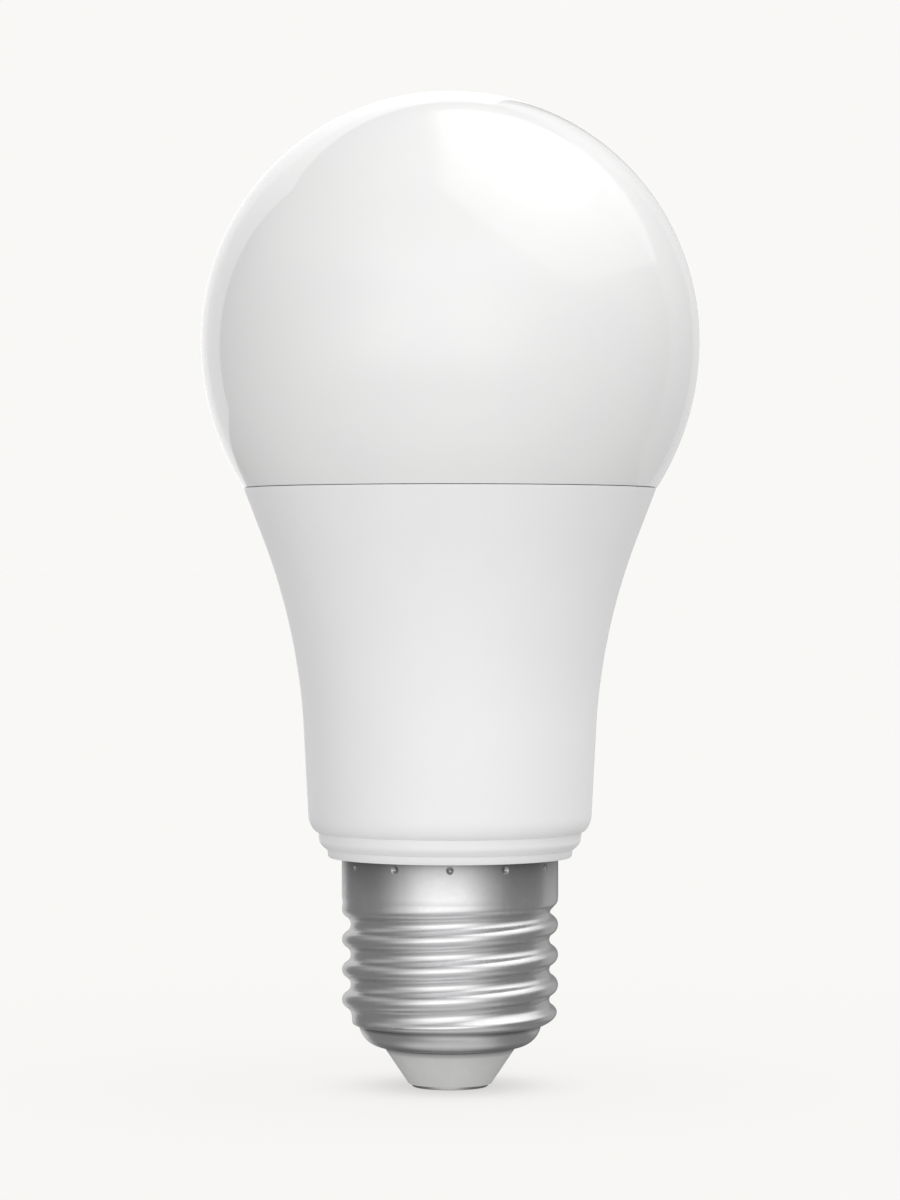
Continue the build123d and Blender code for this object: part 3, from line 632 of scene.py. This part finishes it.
# columns, close together across each dimple and further apart between them
reach = dimple_reach / cap_radius
between_steps = 12
cap_angles = []
for index in range(dimple_count):
    middle = 2 * pi * index / dimple_count - pi / 2
    after = middle + 2 * pi / dimple_count - reach
    cap_angles += spread(middle - reach, middle + reach, dimple_steps)[:-1]
    cap_angles += spread(middle + reach, after, between_steps)[:-1]

shoulder = shoulder_height - thread_bottom
turns = [radians(angle) for angle in spread(0, 84, shoulder_steps)]
thread_rows = [shoulder_height - shoulder * cos(turn) for turn in turns]
thread_rows += spread(shoulder_height, runout_top, thread_steps)
dimple_rows = spread(dimple_height + dimple_strip, dimple_height - dimple_strip, dimple_steps)
rows = [(cap_radius - cap_wall, cap_top), (cap_radius - cap_edge, cap_top)]
rows += [(cap_radius, cap_top - cap_edge)]
rows += [cap_row(collar_radius, height) for height in dimple_rows]
rows += [(cap_radius, height) for height in spread(*collar_strip, 6)]
rows += [cap_row(thread_radius, height) for height in reversed(thread_rows)]


def bowl_point(angle, radius):
    """A point of the bowl's round, at an angle below the level of its centre."""
    middle = bowl_top_radius - sqrt(bowl_radius**2 - (bowl_centre_height - thread_bottom) ** 2)
    return (middle + radius * cos(radians(angle)), bowl_centre_height - radius * sin(radians(angle)))


bowl_start = degrees(asin((bowl_centre_height - thread_bottom) / bowl_radius))
rows += [bowl_point(angle, bowl_radius) for angle in spread(bowl_start, 90, bowl_steps)]
rows += [(bowl_mouth + lip_edge, lip_bottom), (bowl_mouth, lip_bottom + lip_edge)]
rows += [(bowl_mouth, lip_top)]
rows += [bowl_point(angle, bowl_radius - cap_wall) for angle in spread(90, 12, lip_steps)]
wall = cap_wall - 2 * joint_step
rows += [cap_row(thread_radius, height, wall) for height in thread_rows[2::2]]
rows += [(cap_radius - cap_wall, collar_strip[1])]
cap = turned("cap", rows, cap_angles, "nickel_plate", True)
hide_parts("screw_cap")

# insulator
boss_radius = shank_radius + boss_width
boss_top = shank_top - rivet_thick
points = rounded(cone_bottom, (shank_radius, cone_bottom[1]), cone_top, cone_edges[0], 3)
points += rounded(cone_top, cone_bottom, (insulator_neck, cone_top[1]), cone_edges[1], 3)
points += [
    (insulator_neck, cone_top[1]),
    (insulator_neck, lip_top + lip_clearance),
    (flare_bottom, lip_top + lip_clearance),
    (flare_radius, flare_height),
    (flare_radius, insulator_top),
    (boss_radius, insulator_top),
    (boss_radius, boss_top),
    (shank_radius, boss_top),
    (shank_radius, cone_bottom[1]),
]
cone = turned("insulator", plain_rows(points), even_angles, "insulator_plastic", True)
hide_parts("cap_insulator")

# ---- the CAD nodes keep their shapes and get their own finishes ----

for name, node in frame["nodes"].items():
    node.data.materials.clear()
    node.data.materials.append(finishes[slot_of[name]])

# ---- stage ----

scene = bpy.context.scene
scene.view_settings.view_transform = "Standard"
scene.view_settings.look = "None"
middle = (cad_box[0].z + cad_box[1].z) / 2

backdrop = (0.947, 0.939, 0.922)
world = bpy.data.worlds.new("world")
scene.world = world
world.use_nodes = True
tree = world.node_tree
sky = tree.nodes.new("ShaderNodeTexCoord").outputs["Generated"]


def maths(operation, first, second=0.0):
    """A maths node of the world's tree, fed by sockets or numbers."""
    made = tree.nodes.new("ShaderNodeMath")
    made.operation = operation
    for socket, value in zip(made.inputs, (first, second)):
        if isinstance(value, bpy.types.NodeSocket):
            tree.links.new(value, socket)
        else:
            socket.default_value = value
    return made.outputs[0]


def step(value, start, end):
    """0 to 1 as a value goes from start to end, or back where the end is lower."""
    made = tree.nodes.new("ShaderNodeMapRange")
    made.interpolation_type = "SMOOTHSTEP"
    tree.links.new(value, made.inputs["Value"])
    made.inputs["From Min"].default_value = start
    made.inputs["From Max"].default_value = end
    return made.outputs["Result"]


def product(*factors):
    """The product of sockets or numbers."""
    total = factors[0]
    for factor in factors[1:]:
        total = maths("MULTIPLY", total, factor)
    return total


def overhead_panel(flat, core):
    """A crisp-edged panel overhead, on the right, brightest near the bulb's axis.

    It lies in a level plane one unit up, where across is to the right and back is away from the
    front. Its front left corner is cut off in a curve.
    """
    horizon = 0.02
    softness = 0.06
    left_edge = (-0.12, 0.0)
    right_edge = (2.5, 2.34)
    front_edge = 1.3
    corner_cut, corner_fade = 0.85, 0.7
    back_edge, back_slope = 0.8, 0.3
    core_place, core_size = (0.5, 0.05), 0.65
    parts = tree.nodes.new("ShaderNodeSeparateXYZ")
    tree.links.new(sky, parts.inputs["Vector"])
    height = maths("MAXIMUM", parts.outputs["Z"], horizon)
    across = maths("DIVIDE", parts.outputs["X"], height)
    back = maths("DIVIDE", parts.outputs["Y"], height)
    corner = product(maths("EXPONENT", maths("DIVIDE", across, -corner_fade)), corner_cut)
    from_front = maths("SUBTRACT", maths("ADD", back, front_edge), corner)
    back_line = maths("ADD", product(across, back_slope), back_edge)
    from_back = maths("SUBTRACT", back_line, back)
    shape = product(
        step(across, *left_edge),
        step(across, *right_edge),
        step(from_front, -softness, softness),
        step(from_back, -softness, softness),
    )
    away_across = maths("DIVIDE", maths("SUBTRACT", across, core_place[0]), core_size)
    away_back = maths("DIVIDE", maths("SUBTRACT", back, core_place[1]), core_size)
    away = maths("ADD", product(away_across, away_across), product(away_back, away_back))
    bright = product(maths("EXPONENT", product(away, -1.0)), core)
    return product(shape, maths("ADD", bright, flat))


def within(away, half, edge):
    """1 up to half an extent, falling smoothly to 0 over an edge, both in degrees."""
    return step(away, radians(half + edge / 2), radians(half - edge / 2))


def soft_lamp(azimuth, elevation, half_width, half_height, edges, radiance):
    """A far soft lamp. Azimuth 0 is in front of the bulb and 90 to its right, in degrees."""
    turn = tree.nodes.new("ShaderNodeVectorRotate")
    turn.rotation_type = "Z_AXIS"
    turn.inputs["Angle"].default_value = -radians(azimuth)
    tree.links.new(sky, turn.inputs["Vector"])
    parts = tree.nodes.new("ShaderNodeSeparateXYZ")
    tree.links.new(turn.outputs["Vector"], parts.inputs["Vector"])
    x, y, z = parts.outputs
    across = maths("ABSOLUTE", maths("ARCTAN2", x, product(y, -1.0)))
    rise = maths("ABSOLUTE", maths("SUBTRACT", maths("ARCSINE", z), radians(elevation)))
    shape = within(rise, half_height, edges[1])
    if half_width < 180:
        shape = product(shape, within(across, half_width, edges[0]))
    return product(shape, radiance)


soft_lamps = [
    soft_lamp(-8, 0, 48, 14, (60, 20), 0.87),  # low in front
    soft_lamp(-6, 10, 28, 22, (36, 30), 0.59),  # in front
    soft_lamp(0, 32, 45, 14, (50, 30), 0.78),  # high in front
    overhead_panel(0.56, 1.05),  # crisp, overhead
    soft_lamp(75, 32, 40, 14, (40, 30), 0.27),  # high on the right
    soft_lamp(-75, 32, 40, 14, (40, 30), 0.3),  # high on the left
    soft_lamp(120, 66, 60, 14, (40, 24), 0.42),  # overhead on the right
    soft_lamp(180, 50, 60, 20, (60, 24), 0.2),  # high behind
    soft_lamp(0, -78, 180, 20, (0, 24), 0.45),  # bounced straight up
    soft_lamp(0, -35, 40, 16, (60, 24), 0.5),  # bounced from the front
]
ambient = 0.24
total = ambient
for lamp in soft_lamps:
    total = maths("ADD", lamp, total)

# the lamps light the bulb, and the camera sees the plain backdrop
surround = tree.nodes["Background"]
surround.inputs["Color"].default_value = (1, 1, 1, 1)
tree.links.new(total, surround.inputs["Strength"])
seen = tree.nodes.new("ShaderNodeBackground")
seen.inputs["Color"].default_value = (*backdrop, 1)
ray = tree.nodes.new("ShaderNodeLightPath")
choice = tree.nodes.new("ShaderNodeMixShader")
tree.links.new(ray.outputs["Is Camera Ray"], choice.inputs[0])
tree.links.new(surround.outputs[0], choice.inputs[1])
tree.links.new(seen.outputs[0], choice.inputs[2])
tree.links.new(choice.outputs[0], tree.nodes["World Output"].inputs["Surface"])


def group(name, *pieces):
    """A collection that says which pieces a lamp lights, or is shaded by."""
    made = bpy.data.collections.new(name)
    for piece in pieces:
        made.objects.link(piece)
    return made


def hold(name, kind, energy, lit):
    """A lamp of a kind that lights only one group, and the object that holds it."""
    lamp = bpy.data.lights.new(name, kind)
    lamp.energy = energy
    holder = bpy.data.objects.new(name, lamp)
    scene.collection.objects.link(holder)
    holder.light_linking.receiver_collection = lit
    return holder, lamp


def softbox(name, azimuth, elevation, width, height, radiance, lit):
    """A rectangular lamp 1 m away, facing the bulb. Azimuth 0 is in front, and 90 to the right."""
    holder, lamp = hold(name, "AREA", radiance * pi * width * height, lit)
    lamp.shape = "RECTANGLE"
    lamp.size = width
    lamp.size_y = height
    a, e = radians(azimuth), radians(elevation)
    towards = Vector((sin(a) * cos(e), -cos(a) * cos(e), sin(e)))
    holder.location = Vector((0, 0, middle)) + towards
    holder.rotation_euler = towards.to_track_quat("Z", "Y").to_euler()
    holder.visible_camera = False


# softboxes behind the bulb for its plastic, and round it for the cap
plastic_group = group("lit_by_softboxes", globe, housing)
softbox("panel_behind_left", -156, 18, 1.0, 1.04, 0.62, plastic_group)
softbox("panel_behind", 180, 8, 1.2, 1.2, 0.16, plastic_group)
softbox("panel_behind_right", 144, 10, 0.95, 1.3, 0.25, plastic_group)
cap_group = group("lit_by_edge_panel", cap)
softbox("cap_edge_panel", -158, 0, 0.5, 1.0, 0.5, cap_group)
softbox("cap_panel_right", 136, 0, 0.75, 0.9, 0.22, cap_group)
softbox("cap_panel_high", 4, 60, 0.8, 0.35, 0.35, cap_group)
softbox("cap_panel_low", 52, -50, 0.6, 0.35, 0.25, cap_group)

# an even fill on the plastic, from above and from below
fill = 0.14
fill_group = group("lit_by_fill", globe, housing, cone)
for name, tilt in (("fill_above", 0), ("fill_below", 180)):
    holder, lamp = hold(name, "SUN", pi * fill, fill_group)
    lamp.angle = radians(180)
    holder.rotation_euler = (radians(tilt), 0, 0)

# floor, a dim glowing sheet that reaches far behind the bulb
half = 60.0
mesh = bpy.data.meshes.new("floor")
corners = [(-half, -half, 0), (half, -half, 0), (half, half, 0), (-half, half, 0)]
mesh.from_pydata(corners, [], [(0, 1, 2, 3)])
floor = bpy.data.objects.new("floor", mesh)
scene.collection.objects.link(floor)
glow = 0.66
paper_tone = 0.02
dome_light = 1.0
paper = Material("paper", tuple(paper_tone * part for part in backdrop), 0.9)
paper.shader.inputs["Specular IOR Level"].default_value = 0.0
paper.shader.inputs["Emission Color"].default_value = (*backdrop, 1)
paper.shader.inputs["Emission Strength"].default_value = glow
mesh.materials.append(paper.data)
floor.visible_diffuse = False
floor.visible_glossy = False
floor.visible_transmission = False
floor.visible_shadow = False

# A broad lamp straight overhead makes the contact shadow on the floor, and lights nothing else.
# With the paper's glow and the light of the sky it brings the floor to the backdrop's colour.
overhead = pi * ((1 - glow) / paper_tone - dome_light)
holder, lamp = hold("floor_lamp", "SUN", overhead, group("lit_from_overhead", floor))
lamp.angle = radians(110)
foot_group = group("shades_the_floor", cone, frame["nodes"]["centre_contact"])
holder.light_linking.blocker_collection = foot_group

# camera
camera_data = bpy.data.cameras.new("camera")
camera_data.lens = 119.7
camera = bpy.data.objects.new("camera", camera_data)
scene.collection.objects.link(camera)
camera_distance = 0.481
camera_height = 0.0622
camera_dip = 0.43
camera.location = (0.0, -camera_distance, camera_height)
camera.rotation_euler = (radians(90 - camera_dip), 0, 0)
scene.camera = camera
